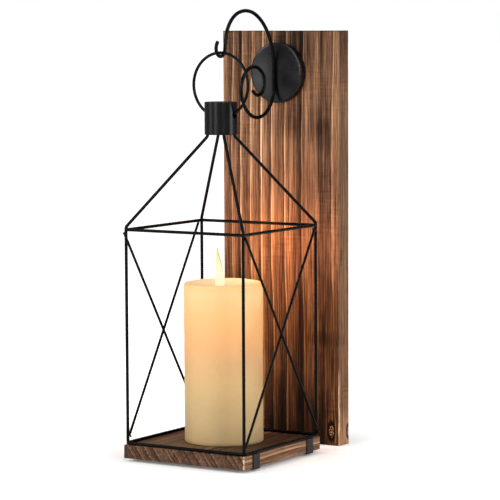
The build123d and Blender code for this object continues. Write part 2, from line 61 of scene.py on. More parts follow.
class Graph:
    """A small writer of shader nodes: sockets go in, sockets come out."""

    def __init__(self, name):
        self.material = bpy.data.materials.new(name)
        self.material.use_nodes = True
        self.tree = self.material.node_tree
        self.shader = self.tree.nodes["Principled BSDF"]
        self.place = self.node("ShaderNodeTexCoord").outputs["Object"]

    def node(self, kind, **settings):
        made = self.tree.nodes.new(kind)
        for name, value in settings.items():
            setattr(made, name, value)
        return made

    def feed(self, socket, value):
        if isinstance(value, bpy.types.NodeSocket):
            self.tree.links.new(value, socket)
        else:
            socket.default_value = value

    def math(self, operation, *values):
        made = self.node("ShaderNodeMath", operation=operation)
        for socket, value in zip(made.inputs, values):
            self.feed(socket, value)
        return made.outputs[0]

    def add(self, a, b):
        return self.math("ADD", a, b)

    def sub(self, a, b):
        return self.math("SUBTRACT", a, b)

    def mul(self, a, b):
        return self.math("MULTIPLY", a, b)

    def vector(self, operation, *values):
        made = self.node("ShaderNodeVectorMath", operation=operation)
        for socket, value in zip(made.inputs, values):
            self.feed(socket, value)
        gives_number = operation in ("LENGTH", "DOT_PRODUCT")
        return made.outputs["Value" if gives_number else "Vector"]

    def axis(self, index, place=None):
        split = self.node("ShaderNodeSeparateXYZ")
        self.feed(split.inputs[0], place or self.place)
        return split.outputs[index]

    def noise(self, scale, detail=3.0, roughness=0.55, place=None, stretch=None):
        where = place or self.place
        if stretch:
            where = self.vector("MULTIPLY", where, stretch)
        made = self.node("ShaderNodeTexNoise")
        self.feed(made.inputs["Vector"], where)
        made.inputs["Scale"].default_value = scale
        made.inputs["Detail"].default_value = detail
        made.inputs["Roughness"].default_value = roughness
        return made.outputs["Fac"]

    def step(self, value, low, high, to_low=0.0, to_high=1.0):
        """A smooth ramp of value between low and high."""
        made = self.node("ShaderNodeMapRange", interpolation_type="SMOOTHSTEP")
        for name, number in (("Value", value), ("From Min", low), ("From Max", high)):
            self.feed(made.inputs[name], number)
        self.feed(made.inputs["To Min"], to_low)
        self.feed(made.inputs["To Max"], to_high)
        return made.outputs["Result"]

    def ramp(self, value, stops):
        made = self.node("ShaderNodeValToRGB")
        self.feed(made.inputs[0], value)
        elements = made.color_ramp.elements
        while len(elements) < len(stops):
            elements.new(0.5)
        for element, (position, colour) in zip(elements, stops):
            element.position = position
            element.color = colour
        return made.outputs["Color"]

    def mix(self, share, first, second, blend="MIX"):
        made = self.node("ShaderNodeMix", data_type="RGBA", blend_type=blend)
        self.feed(made.inputs["Factor"], share)
        self.feed(made.inputs[6], first)
        self.feed(made.inputs[7], second)
        return made.outputs[2]

    def bump(self, height, depth, strength=1.0):
        made = self.node("ShaderNodeBump")
        made.inputs["Strength"].default_value = strength
        made.inputs["Distance"].default_value = depth
        self.feed(made.inputs["Height"], height)
        self.feed(self.shader.inputs["Normal"], made.outputs["Normal"])

    def set(self, **values):
        """Set the shader's sockets, with an underscore for each space in a socket's name."""
        for name, value in values.items():
            self.feed(self.shader.inputs[name.replace("_", " ")], value)


# ---- Wood: growth rings that the geometry and the shader share ----

# Each wave is its length, its size and its start angle.
GRAIN_WAVES = ((0.3700, 0.0012, 0.8), (0.1430, 0.0003, 2.6), (0.0630, 0.0001, 5.0))
KNOT_SPREAD = 2.2
KNOT_PUSH = 0.6
NO_KNOT = 100.0
HASH_STEP = 12.9898
HASH_GAIN = 4375.85


def waving(source, waves):
    """The sum of some sine waves at a number."""
    return sum(size * math.sin(math.tau * source / wave + start) for wave, size, start in waves)


class Wood:
    """A block of softwood: rings across one direction, fibres along another, and knots."""

    def __init__(self, across, along, period, waves, start=0.0, knots=()):
        self.across = Vector(across).normalized()
        self.along = Vector(along).normalized()
        self.period = period
        self.waves = waves
        self.start = start
        self.knots = [(Vector(centre), Vector(radii)) for centre, radii in knots]

    def ring_at(self, point):
        """The ring coordinate at a point: its whole part numbers the ring."""
        depth = point.dot(self.across)
        length = point.dot(self.along)
        depth += waving(length, GRAIN_WAVES)
        for centre, radii in self.knots:
            offset = point - centre
            away = sum((offset[i] / (KNOT_SPREAD * radii[i])) ** 2 for i in range(3))
            depth -= KNOT_PUSH * offset.dot(self.across) * math.exp(-away)
        return (depth + waving(depth, self.waves)) / self.period + self.start

    def knot_at(self, point):
        """How deep inside a knot a point is, from 0 outside to 1 at its centre."""
        nearest = 1.0
        for centre, radii in self.knots:
            offset = point - centre
            away = sum((offset[i] / radii[i]) ** 2 for i in range(3))
            nearest = min(nearest, math.sqrt(away))
        return 1.0 - nearest

    def ring_sockets(self, graph):
        """The ring coordinate as a socket, the knots' nearness and how crowded the rings are."""
        def waving_socket(source, waves):
            total = 0.0
            for wave, size, start in waves:
                angle = graph.add(graph.mul(source, math.tau / wave), start)
                total = graph.add(graph.mul(graph.math("SINE", angle), size), total)
            return total

        length = graph.vector("DOT_PRODUCT", graph.place, tuple(self.along))
        depth = graph.vector("DOT_PRODUCT", graph.place, tuple(self.across))
        depth = graph.add(depth, waving_socket(length, GRAIN_WAVES))
        near = NO_KNOT
        for centre, radii in self.knots:
            offset = graph.vector("SUBTRACT", graph.place, tuple(centre))
            scaled = graph.vector("DIVIDE", offset, tuple(radii))
            distance = graph.vector("LENGTH", scaled)
            squared = graph.mul(distance, distance)
            fall = graph.math("EXPONENT", graph.mul(squared, -1 / KNOT_SPREAD**2))
            push = graph.mul(graph.vector("DOT_PRODUCT", offset, tuple(self.across)), fall)
            depth = graph.sub(depth, graph.mul(push, KNOT_PUSH))
            near = graph.math("MINIMUM", near, distance)
        ring = graph.add(depth, waving_socket(depth, self.waves))
        ring = graph.mul(ring, 1 / self.period)
        wave, size, start = self.waves[0]
        slope = graph.math("COSINE", graph.add(graph.mul(depth, math.tau / wave), start))
        crowding = graph.add(graph.mul(slope, size * math.tau / wave), 1.0)
        return graph.add(ring, self.start), near, crowding


def ring_hash(number):
    """A fixed random share for a ring number."""
    value = math.sin(number * HASH_STEP) * HASH_GAIN
    return value - math.floor(value)


def wood_material(name, wood, stops, grain, contrast, level, stain, bare_edge):
    """Torched and oiled pine, its brightness built up from rings, fibres, char, wear and a level
    that also holds painted shade and painted light.
    """
    graph = Graph(name)
    ring, near, crowding = wood.ring_sockets(graph)

    def fibres(across, along, detail=3.0, roughness=0.6):
        stretch = tuple(along if share else across for share in grain)
        return graph.sub(graph.noise(1.0, detail, roughness, stretch=stretch), 0.5)

    fine_fibre = fibres(1100, 20, 4.0, 0.75)
    coarse_fibre = fibres(420, 7)
    # The fibres fray each ring's border.
    stray = graph.add(graph.mul(coarse_fibre, 0.05), graph.mul(fine_fibre, 0.03))
    ring = graph.add(ring, graph.mul(stray, crowding))
    number = graph.math("FLOOR", ring)
    share = graph.math("FRACT", ring)
    chance = graph.math("SINE", graph.mul(number, HASH_STEP))
    chance = graph.math("FRACT", graph.mul(chance, HASH_GAIN))
    # A ring starts with a pale line, fainter where the rings are wide, and then darkens.
    line_end = graph.mul(crowding, 0.13)
    line = graph.step(share, 0.0, line_end, 1.0, 0.0)
    line = graph.mul(line, graph.step(chance, 0.1, 0.8, 0.16, 0.3))
    line = graph.mul(line, graph.step(crowding, 0.2, 0.6, 0.35, 1.0))
    fall = graph.step(share, 0.05, 1.0, 0.09, -0.14)
    inner = graph.math("FRACT", graph.mul(ring, 3.37))
    value = graph.add(level(graph), graph.mul(graph.add(line, fall), contrast))
    value = graph.add(value, graph.step(inner, 0.0, 0.3, 0.06, 0.0))
    value = graph.add(value, graph.mul(graph.sub(chance, 0.5), 0.07))
    value = graph.add(value, graph.step(fine_fibre, -0.13, 0.13, -0.15, 0.15))
    value = graph.add(value, graph.mul(coarse_fibre, 0.5))
    value = graph.add(value, graph.mul(fibres(90, 3.0), 0.2))
    # Char from the torch, and patches of saw chatter.
    char = graph.step(graph.noise(1.0, 4.0, 0.65, stretch=(60, 60, 30)), 0.5, 0.68, 0.0, 0.05)
    value = graph.sub(value, char)
    chatter = fibres(40, 480, 2.0)
    patch = graph.step(graph.noise(17.0, 2.0, 0.5), 0.48, 0.62)
    value = graph.add(value, graph.mul(graph.mul(chatter, patch), 0.22))
    # A knot is black with pale flecks, inside a dark rim and a paler ring.
    if wood.knots:
        flecks = graph.step(graph.noise(900.0, 2.0, 0.5), 0.5, 0.58, 0.06, 0.8)
        heart = graph.mul(flecks, graph.step(near, 0.6, 0.85, 1.0, 0.0))
        halo = graph.step(near, 0.95, 1.5, 0.24, 0.0)
        glint = graph.step(near, 1.2, 2.4, 0.10, 0.0)
        glint = graph.mul(glint, graph.step(near, 1.0, 1.3))
        inside = graph.step(near, 0.94, 1.0, 1.0, 0.0)
        outer = graph.mul(graph.add(graph.sub(value, halo), glint), graph.sub(1.0, inside))
        value = graph.add(outer, graph.mul(heart, inside))
    tone = graph.ramp(value, stops)
    tone = graph.mix(stain(graph), tone, STAIN, "MULTIPLY")
    tone = graph.mix(bare_edge(graph), tone, BARE_WOOD)
    relief = graph.add(graph.mul(share, 0.35), graph.mul(fine_fibre, 2.0))
    graph.bump(relief, 0.3 * MM, 0.6)
    graph.set(Base_Color=tone, Roughness=graph.step(value, 0.1, 0.8, 0.5, 0.66))
    graph.set(Specular_IOR_Level=0.07)
    return graph.material


# ---- Meshes ----

def linked(name, data):
    """A new object that is in the scene."""
    made = bpy.data.objects.new(name, data)
    bpy.context.scene.collection.objects.link(made)
    return made


def to_object(name, mesh_maker, smooth=True):
    """An object in the scene from a function that fills a bmesh."""
    mesh = bpy.data.meshes.new(name)
    work = bmesh.new()
    mesh_maker(work)
    work.to_mesh(mesh)
    work.free()
    if smooth:
        mesh.shade_smooth()
    return linked(name, mesh)


def edge_spaced(low, high, spacing, edge, first=0.3 * MM, growth=1.35):
    """Coordinates from low to high, close together near both ends."""
    steps = []
    reach = 0.0
    gap = first
    while reach < edge and gap < spacing:
        reach += gap
        steps.append(reach)
        gap *= growth
    inner = high - low - 2 * reach
    count = max(1, math.ceil(inner / spacing))
    middle = [low + reach + inner * index / count for index in range(count + 1)]
    first_steps = [low + step for step in steps[:-1]]
    last_steps = [high - step for step in reversed(steps[:-1])]
    return [low, *first_steps, *middle, *last_steps, high]


def add_block(work, low, high, spacing, edge):
    """A closed box of quads, on a grid that is fine near its edges."""
    grids = [edge_spaced(low[i], high[i], spacing[i], edge) for i in range(3)]
    corners = {}

    def vertex(i, j, k):
        if (i, j, k) not in corners:
            corners[i, j, k] = work.verts.new((grids[0][i], grids[1][j], grids[2][k]))
        return corners[i, j, k]

    for axis in range(3):
        first, second = (axis + 1) % 3, (axis + 2) % 3
        for end in (0, len(grids[axis]) - 1):
            for a in range(len(grids[first]) - 1):
                for b in range(len(grids[second]) - 1):
                    quad = []
                    for da, db in ((0, 0), (1, 0), (1, 1), (0, 1)):
                        index = [0, 0, 0]
                        index[axis], index[first], index[second] = end, a + da, b + db
                        quad.append(vertex(*index))
                    work.faces.new(quad if end else quad[::-1])


def round_off(point, low, high, radius):
    """Pull a surface point of a box in, so that its edges are rounded."""
    core = Vector(min(max(point[i], low[i] + radius), high[i] - radius) for i in range(3))
    away = point - core
    return core + away * (radius / away.length) if away.length > radius else point


EDGE_WEAR = 0.6 * MM
LEAST_WEAR = 0.15 * MM
GRAIN_RELIEF = 0.14 * MM
WEAR_SCALE, CHIP_SCALE = 60, 260
FUZZ_SCALE, KNOT_SCALE = 900, 700


def wooden_block(name, node, wood, spacing):
    """The CAD block as hand-finished wood: worn edges, raised grain and sunken knots."""
    low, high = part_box(node)
    low += Vector((CAD_MARGIN,) * 3)
    high -= Vector((CAD_MARGIN,) * 3)
    middle = (low + high) / 2

    def fill(work):
        add_block(work, low, high, spacing, 3 * EDGE_WEAR)
        for vert in work.verts:
            place = vert.co.copy()
            chipping = noise.noise(place * WEAR_SCALE) + 0.6 * noise.noise(place * CHIP_SCALE)
            radius = EDGE_WEAR * (0.85 + 0.35 * chipping)
            rounded = round_off(place, low, high, max(radius, LEAST_WEAR))
            ring = wood.ring_at(place)
            share = ring - math.floor(ring)
            sink = (1 - share) * ring_hash(math.floor(ring))
            sink += 0.25 * (noise.noise(place * FUZZ_SCALE) + 1)
            knot = max(0.0, wood.knot_at(place))
            sink += 3.0 * knot * (1.2 + noise.noise(place * KNOT_SCALE))
            inward = middle - rounded
            sizes = [abs(inward[i]) / (high[i] - low[i]) for i in range(3)]
            axis = sizes.index(max(sizes))
            rounded[axis] += math.copysign(GRAIN_RELIEF * sink, inward[axis])
            vert.co = rounded

    return to_object(name, fill)


def cut_like(piece, node):
    """Keep only what lies inside the CAD node, so that its holes are in the piece too."""
    cutter = linked("cutter", NODES[node].data.copy())
    merge = bmesh.new()
    merge.from_mesh(cutter.data)
    bmesh.ops.remove_doubles(merge, verts=merge.verts, dist=CAD_MARGIN / 4)
    merge.to_mesh(cutter.data)
    merge.free()
    modifier = piece.modifiers.new("cut", "BOOLEAN")
    modifier.operation = "INTERSECT"
    modifier.solver = "MANIFOLD"
    modifier.object = cutter
    apply_modifiers(piece)
    bpy.data.objects.remove(cutter)
    return piece


def apply_modifiers(piece):
    """Bake a piece's modifiers into its mesh."""
    bpy.context.view_layer.update()
    evaluated = piece.evaluated_get(bpy.context.evaluated_depsgraph_get())
    mesh = bpy.data.meshes.new_from_object(evaluated)
    piece.modifiers.clear()
    piece.data = mesh
    return piece


def softened_copy(name, node, voxel, rounds):
    """A copy of a CAD node with an even mesh and its edges melted round."""
    piece = linked(name, NODES[node].data.copy())
    remesh = piece.modifiers.new("remesh", "REMESH")
    remesh.mode = "VOXEL"
    remesh.voxel_size = voxel
    soften = piece.modifiers.new("soften", "SMOOTH")
    soften.iterations = rounds
    soften.factor = 0.5
    return apply_modifiers(piece)


def coat(piece, material):
    """Give a piece one material."""
    piece.data.materials.clear()
    piece.data.materials.append(material)


def place_piece(piece, body, material, replaced=()):
    """Give a finished piece its material and its body, and hide the CAD nodes that it stands for."""
    coat(piece, material)
    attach(piece, body)
    if replaced:
        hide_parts(*replaced)
    return piece


def paint(nodes, material):
    """Give some CAD nodes one material."""
    for node in nodes:
        coat(NODES[node], material)


# ---- Wood pieces ----

board_low, board_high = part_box("backboard")
base_low, base_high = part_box("base_board")

KNOT_FRONT = (board_high.x - 9 * MM, board_low.y, board_low.z + 14 * MM)
KNOT_SIDE = (board_high.x, board_high.y - 1.5 * MM, board_low.z + 13 * MM)
board_wood = Wood(
    (0.88, 0.47, 0.0), (0, 0, 1), 16.74 * MM,
    waves=((0.2600, 0.0320, 1.4835), (0.0173, 0.0006, 1.9), (0.0067, 0.0003, 4.1)),
    start=3.342,
    knots=[(KNOT_FRONT, (3.9 * MM, 6 * MM, 9 * MM)), (KNOT_SIDE, (4 * MM, 4 * MM, 7 * MM))],
)
base_wood = Wood(
    (0.80, 0.0, 0.60), (0, 1, 0), 7 * MM,
    waves=((0.0310, 0.0030, 0.4), (0.0173, 0.0016, 1.9), (0.0067, 0.0005, 4.1)),
)

BARE_WOOD = srgb(232, 196, 158)
STAIN = (0.86, 0.66, 0.44, 1.0)
BOARD_STOPS = [
    (0.0, srgb(16, 9, 5)), (0.15, srgb(42, 26, 16)), (0.3, srgb(72, 49, 34)),
    (0.42, srgb(101, 72, 52)), (0.55, srgb(130, 95, 69)), (0.72, srgb(166, 126, 94)),
    (1.0, srgb(222, 186, 148)),
]
BASE_STOPS = [
    (0.0, srgb(20, 13, 9)), (0.15, srgb(40, 27, 20)), (0.3, srgb(66, 47, 36)),
    (0.42, srgb(92, 67, 51)), (0.55, srgb(120, 90, 68)), (0.72, srgb(156, 120, 92)),
    (1.0, srgb(206, 170, 134)),
]

# Brightness by height: on the front, along its right edge and on the sides. The low front is darker
# from char and also as painted shade behind the lantern.
FRONT_LEVELS = (
    (-0.188, 0.10), (-0.159, 0.22), (-0.130, 0.34), (-0.071, 0.36), (-0.012, 0.39),
    (0.050, 0.40), (0.090, 0.46), (0.150, 0.43), (0.195, 0.33),
)
EDGE_LEVELS = (
    (-0.188, 0.37), (-0.159, 0.41), (-0.130, 0.41), (-0.085, 0.36), (-0.041, 0.39),
    (-0.012, 0.48), (0.017, 0.44), (0.050, 0.41), (0.105, 0.49), (0.190, 0.49),
)
SIDE_LEVELS = (
    (-0.200, 0.50), (-0.178, 0.47), (-0.165, 0.35), (0.000, 0.375), (0.150, 0.36), (0.200, 0.22),
)

# Brightness added across the front, from left to right.
BAND_LEVELS = (
    (-0.0665, -0.03), (-0.0600, -0.05), (-0.0538, -0.06), (-0.0490, -0.10), (-0.0440, -0.22),
    (-0.0395, -0.05), (-0.0360, 0.08), (-0.0290, 0.13), (-0.0200, 0.04), (-0.0020, 0.03),
    (0.0120, 0.06), (0.0190, 0.01), (0.0225, -0.11), (0.0265, -0.11), (0.0300, -0.01),
    (0.0350, 0.03), (0.0416, 0.13), (0.0477, -0.01), (0.0532, 0.07), (0.0585, 0.06),
    (0.0615, -0.12), (0.0665, -0.16),
)
BAND_MIDDLE = 0.5
BASE_MIDDLE = 0.44

# Each dark patch is its centre, its radii and how much it darkens: scorches from the torch, and
# painted shadow of the rosette beside and below it.
SCORCH_AND_SHADOW_PATCHES = (
    ((0.014, -0.019, 0.188), (0.024, 0.02, 0.045), 0.2),
    ((0.022, -0.019, 0.116), (0.036, 0.02, 0.022), 0.12),
    ((0.047, -0.019, 0.099), (0.016, 0.02, 0.020), 0.13),
    ((0.040, -0.019, 0.060), (0.016, 0.02, 0.030), 0.08),
    ((0.052, -0.019, -0.098), (0.024, 0.02, 0.009), 0.12),
    ((0.0640, -0.019, -0.120), (0.0040, 0.002, 0.090), 0.18),
)


def level_along(graph, index, levels, lift=0.0):
    """A brightness that follows (place, level) pairs along one axis of the board."""
    low, high = board_low[index], board_high[index]
    share = graph.mul(graph.sub(graph.axis(index), low), 1 / (high - low))
    stops = [((place - low) / (high - low), (level + lift,) * 3 + (1.0,)) for place, level in levels]
    return graph.ramp(share, stops)


def board_level(graph):
    """How bright each place is: by height, across the front, in dark patches and along the top end.
    The low front's darkening is partly painted shade behind the lantern, and some patches are
    painted shadow of the rosette.
    """
    edge = graph.step(graph.axis(X), 42 * MM, 58 * MM)
    # The front's levels fall low down: char, and painted shade behind the lantern.
    front = graph.mix(edge, level_along(graph, Z, FRONT_LEVELS), level_along(graph, Z, EDGE_LEVELS))
    behind = graph.step(graph.axis(Y), board_low.y + 0.5 * MM, board_low.y + 1.5 * MM)
    level = graph.axis(X, graph.mix(behind, front, level_along(graph, Z, SIDE_LEVELS)))
    bands = graph.sub(graph.axis(X, level_along(graph, X, BAND_LEVELS, BAND_MIDDLE)), BAND_MIDDLE)
    level = graph.add(level, graph.mul(bands, graph.sub(1.0, behind)))
    pale_left = graph.step(graph.axis(X), -52 * MM, -30 * MM, 0.15, 0.0)
    pale_left = graph.mul(pale_left, graph.step(graph.axis(Z), -100 * MM, 0.0))
    pale_left = graph.mul(pale_left, graph.step(graph.axis(Z), 60 * MM, 100 * MM, 1.0, 0.6))
    level = graph.add(level, pale_left)
    streaks = graph.step(graph.noise(1.0, 3.0, 0.6, stretch=(330, 330, 9)), 0.35, 0.6, 0.35, 1.5)
    # Darken each patch: torch scorch, and painted shadow of the rosette.
    for centre, radii, depth in SCORCH_AND_SHADOW_PATCHES:
        offset = graph.vector("SUBTRACT", graph.place, centre)
        away = graph.vector("LENGTH", graph.vector("DIVIDE", offset, radii))
        level = graph.sub(level, graph.mul(graph.step(away, 0.3, 1.2, depth, 0.0), streaks))
    below_top = graph.sub(board_high.z, graph.axis(Z))
    return graph.sub(level, graph.step(below_top, 0.2 * MM, 1.2 * MM, 0.2, 0.0))


def board_low_red_tint(graph):
    """The lower front is tinted redder, most of all at the bottom, and the sides only a little."""
    low = graph.step(graph.axis(Z), -100 * MM, 40 * MM, 1.0, 0.0)
    behind = graph.sub(graph.axis(Y), board_low.y)
    return graph.mul(low, graph.step(behind, 0.5 * MM, 1.5 * MM, 1.0, 0.15))


def board_bare_edge(graph):
    """Bare wood shows along the front right edge, most of all low down."""
    beside = graph.sub(board_high.x, graph.axis(X))
    behind = graph.sub(graph.axis(Y), board_low.y)
    near = graph.step(graph.math("MAXIMUM", beside, behind), 0.8 * MM, 1.6 * MM, 1.0, 0.0)
    low = graph.step(graph.axis(Z), -150 * MM, -120 * MM, 1.0, 0.1)
    breaks = graph.noise(1.0, 4.0, 0.6, stretch=(300, 300, 50))
    return graph.mul(graph.mul(near, low), graph.step(breaks, 0.34, 0.56, 0.3, 1.0))


def base_level(graph):
    """The end grain is darker. The side is painted paler as painted light from the right, and the
    top's darkening to the right is painted shadow of the candle and board.
    """
    end = graph.step(graph.axis(Y), base_low.y, base_low.y + 2 * MM, -0.1, 0.0)
    # Painted light: the side that faces the right lights is made paler.
    side = graph.step(graph.axis(X), base_high.x - 2 * MM, base_high.x, 0.0, 0.11)
    # Painted shadow of the candle and board on the right of the top.
    right = graph.step(graph.axis(X), 0.0, 40 * MM, 0.0, -0.22)
    top = graph.step(graph.axis(Z), base_high.z - 1 * MM, base_high.z, 0.0, 1.0)
    return graph.add(BASE_MIDDLE, graph.add(graph.add(end, side), graph.mul(right, top)))


def base_stain(graph):
    """Uneven patches of red stain."""
    return graph.step(graph.noise(30.0), 0.3, 0.8, 0.0, 0.35)


def base_bare_edge(graph):
    """Rubbed corners at the front of the base."""
    beside = graph.sub(base_high.x, graph.axis(X))
    behind = graph.sub(graph.axis(Y), base_low.y)
    near = graph.step(graph.math("MAXIMUM", beside, behind), 0.8 * MM, 1.8 * MM, 0.7, 0.0)
    broken = graph.step(graph.noise(260.0, 4.0, 0.6), 0.42, 0.62)
    return graph.mul(near, broken)


BOARD_GRID = (0.8 * MM, 1.6 * MM, 4 * MM)
BASE_GRID = (0.9 * MM, 3 * MM, 0.8 * MM)


def make_wood():
    """The board and the base."""
    board_material = wood_material(
        "stained_pine", board_wood, BOARD_STOPS, grain=(0, 0, 1), contrast=1.0,
        level=board_level, stain=board_low_red_tint, bare_edge=board_bare_edge,
    )
    board = wooden_block("backboard_wood", "backboard", board_wood, BOARD_GRID)
    cut_like(board, "backboard")
    place_piece(board, "wall_board", board_material, ["backboard"])

    base_material = wood_material(
        "stained_pine_base", base_wood, BASE_STOPS, grain=(0, 1, 0), contrast=0.65,
        level=base_level, stain=base_stain, bare_edge=base_bare_edge,
    )
    base = wooden_block("base_board_wood", "base_board", base_wood, BASE_GRID)
    place_piece(base, "lantern", base_material, ["base_board"])


# ---- Metal ----

def powder_coat(name, colour, roughness, specular, grain_depth):
    """Black powder coat: fine orange peel, faint dust and slightly uneven sheen."""
    graph = Graph(name)
    peel = graph.noise(1900.0, 3.0, 0.6)
    sheen = graph.noise(90.0, 3.0, 0.6)
    dust = graph.noise(420.0, 5.0, 0.7)
    tone = graph.mix(graph.step(dust, 0.5, 0.85, 0.0, 0.03), colour, srgb(74, 74, 76))
    sheen = graph.step(sheen, 0.3, 0.7, roughness - 0.03, roughness + 0.04)
    graph.bump(peel, grain_depth, 0.55)
    graph.set(Base_Color=tone, Roughness=sheen, Specular_IOR_Level=specular)
    return graph.material


def plated_steel(name, colour):
    """Bright plated steel with fine brushing and a little tarnish."""
    graph = Graph(name)
    brush = graph.noise(1.0, 3.0, 0.6, stretch=(300, 300, 3000))
    tarnish = graph.noise(160.0, 4.0, 0.6)
    tone = graph.mix(graph.step(tarnish, 0.45, 0.8, 0.0, 0.5), colour, srgb(120, 112, 98))
    graph.bump(brush, 0.03 * MM, 0.4)
    roughness = graph.step(tarnish, 0.3, 0.7, 0.28, 0.46)
    graph.set(Base_Color=tone, Roughness=roughness, Metallic=1.0)
    return graph.material


def add_bead(work, centre, radius, seed):
    """One lumpy weld bead."""
    made = bmesh.ops.create_icosphere(work, subdivisions=3, radius=radius)
    for vert in made["verts"]:
        bump = 0.86 + 0.12 * noise.noise(vert.co * (1.3 / radius) + Vector((seed, seed, seed)))
        vert.co = vert.co * bump + centre


JOINT_BEAD = 1.25 * WIRE
JOINT_SHIFT = 0.8 * WIRE
BRACE_BEAD = 0.75 * WIRE
BRACE_SHIFT = 0.5 * WIRE


def weld_spots():
    """Two beads at each corner of the top and bottom squares."""
    spots = []
    rail_z = sum(end.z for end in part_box("top_rail_front")) / 2
    frame_z = sum(end.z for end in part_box("bottom_frame")) / 2
    for depth, sign_y in (("front", -1), ("back", 1)):
        for side, sign_x in (("left", -1), ("right", 1)):
            low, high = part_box(f"corner_rod_{depth}_{side}")
            post_x = (high.x if sign_x > 0 else low.x) - sign_x * WIRE
            post_y = (high.y if sign_y > 0 else low.y) - sign_y * WIRE
            for height in (rail_z, frame_z):
                spots.append(Vector((post_x - sign_x * JOINT_SHIFT, post_y, height)))
                spots.append(Vector((post_x, post_y - sign_y * JOINT_SHIFT, height)))
    return spots


def brace_ends():
    """The four ends on each side where a thin brace is tacked to its post."""
    ends = []
    for side, inward in (("left", 1), ("right", -1)):
        for layer in ("outer", "inner"):
            mesh = NODES[f"brace_{side}_{layer}"].data
            top = max(mesh.vertices, key=lambda vertex: vertex.co.z).co
            foot = min(mesh.vertices, key=lambda vertex: vertex.co.z).co
            for end in (top, foot):
                ends.append(Vector((end.x + inward * BRACE_SHIFT, end.y, end.z)))
    return ends


def make_beads(work):
    """All the weld beads in one mesh."""
    beads = [(spot, JOINT_BEAD) for spot in weld_spots()]
    beads += [(end, BRACE_BEAD) for end in brace_ends()]
    for index, (centre, radius) in enumerate(beads):
        add_bead(work, centre, radius, index)


ROSETTE_VOXEL = 0.45 * MM
ROSETTE_SAG = 2.2 * MM
ROSETTE_INSET = 0.03 * MM
ROSETTE_DEPTH = 4 * MM
ROSETTE_FADE = 3 * MM


def dome_rosette():
    """The pressed cup with its face slightly domed, as pressing leaves it."""
    low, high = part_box("rosette")
    centre = (low + high) / 2
    radius = (high.x - low.x) / 2
    piece = softened_copy("rosette_dome", "rosette", ROSETTE_VOXEL, rounds=4)
    for vert in piece.data.vertices:
        away = Vector((vert.co.x - centre.x, 0, vert.co.z - centre.z)).length / radius
        nearness = max(0.0, min(1.0, (low.y + ROSETTE_DEPTH - vert.co.y) / ROSETTE_FADE))
        vert.co.y += nearness * (ROSETTE_SAG * away**2 + ROSETTE_INSET)
    piece.data.shade_smooth()
    return piece


WIRE_NODES = ("corner_rod", "top_rail", "brace", "bottom_frame", "hook", "hanging_ring")
STEEL_NODES = ("keyhole_hanger", "hanger_screws", "rosette_stud", "stud_washer", "stud_nut")


def make_metal():
    """The lantern's wires, the rosette and the fixings, with the weld beads."""
    # After a coat's colour come its roughness, its specular level and its peel's depth.
    wire_coat = powder_coat("black_wire", srgb(3, 2, 2), 0.27, 0.09, 0.003 * MM)
    disc_coat = powder_coat("black_coat_smooth", srgb(3, 3, 4), 0.30, 0.18, 0.006 * MM)
    strap_coat = powder_coat("black_strap", srgb(24, 25, 28), 0.42, 0.22, 0.02 * MM)
    zinc = plated_steel("zinc_steel", srgb(196, 196, 190))
    paint([node for node in NODES if node.startswith(WIRE_NODES)], wire_coat)
    paint([node for node in NODES if node.startswith("strap")], strap_coat)
    paint(["collar"], disc_coat)
    # The rosette's black is lighter than the wires' and collar's: partly painted light, for the
    # light its face catches.
    rosette_coat = powder_coat("black_coat_rosette", srgb(11, 11, 12), 0.24, 0.22, 0.004 * MM)
    place_piece(dome_rosette(), "wall_board", rosette_coat, ["rosette"])
    paint(STEEL_NODES, zinc)
    place_piece(to_object("weld_beads", make_beads), "lantern", wire_coat)


# ---- Candle ----

wax_low, wax_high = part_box("wax_shell")
wax_axis = (wax_low + wax_high) / 2
WAX_HEIGHT = wax_high.z - wax_low.z
WAX_RADIUS = (wax_high.x - wax_low.x) / 2


RIM_EDGE = 3.0 * MM
FOOT_EDGE = 1.0 * MM
DISH_RADIUS = WAX_RADIUS - 5 * MM
DISH_DEPTH = 4.0 * MM
SIDE_STEPS, RIM_STEPS, DISH_STEPS = 56, 8, 24
WAX_AROUND = 144
RIM_DIP = 0.5 * MM
DIP_REACH = 6 * MM
LUMPS = ((0.22 * MM, 38), (0.08 * MM, 160))


def wax_profile():
    """Radius and height from the foot's centre, up the side, over the rim, into the dish."""
    points = [(0.0, 0.0), (WAX_RADIUS / 2, 0.0), (WAX_RADIUS - FOOT_EDGE, 0.0)]
    points.append((WAX_RADIUS, FOOT_EDGE))
    side_top = WAX_HEIGHT - RIM_EDGE
    for index in range(1, SIDE_STEPS + 1):
        points.append((WAX_RADIUS, FOOT_EDGE + (side_top - FOOT_EDGE) * index / SIDE_STEPS))
    for index in range(1, RIM_STEPS + 1):
        angle = math.radians(90 * index / RIM_STEPS)
        inset = RIM_EDGE * (1 - math.cos(angle))
        points.append((WAX_RADIUS - inset, side_top + RIM_EDGE * math.sin(angle)))
    for index in range(1, DISH_STEPS + 1):
        inner = 1 - index / DISH_STEPS
        points.append((DISH_RADIUS * inner, WAX_HEIGHT - DISH_DEPTH * (1 - inner**2)))
    return points


def wax_vertex(angle, radius, height):
    """A point of the wax, with its lumps and the dips of its rim, and inside the CAD shell."""
    out = Vector((math.cos(angle), math.sin(angle), 0))
    place = out * radius + Vector((0, 0, height))
    lump = sum(size * (1 + noise.noise(place * scale)) for size, scale in LUMPS)
    inset = (lump + 2 * CAD_MARGIN) * min(1.0, radius / WAX_RADIUS)
    dip = RIM_DIP * (1 + noise.noise(place * 45 + Vector((7, 3, 1))))
    drop = dip * min(1.0, max(0.0, (height - WAX_HEIGHT + DIP_REACH) / DIP_REACH))
    return wax_axis + out * (radius - inset) + Vector((0, 0, height - drop - WAX_HEIGHT / 2))


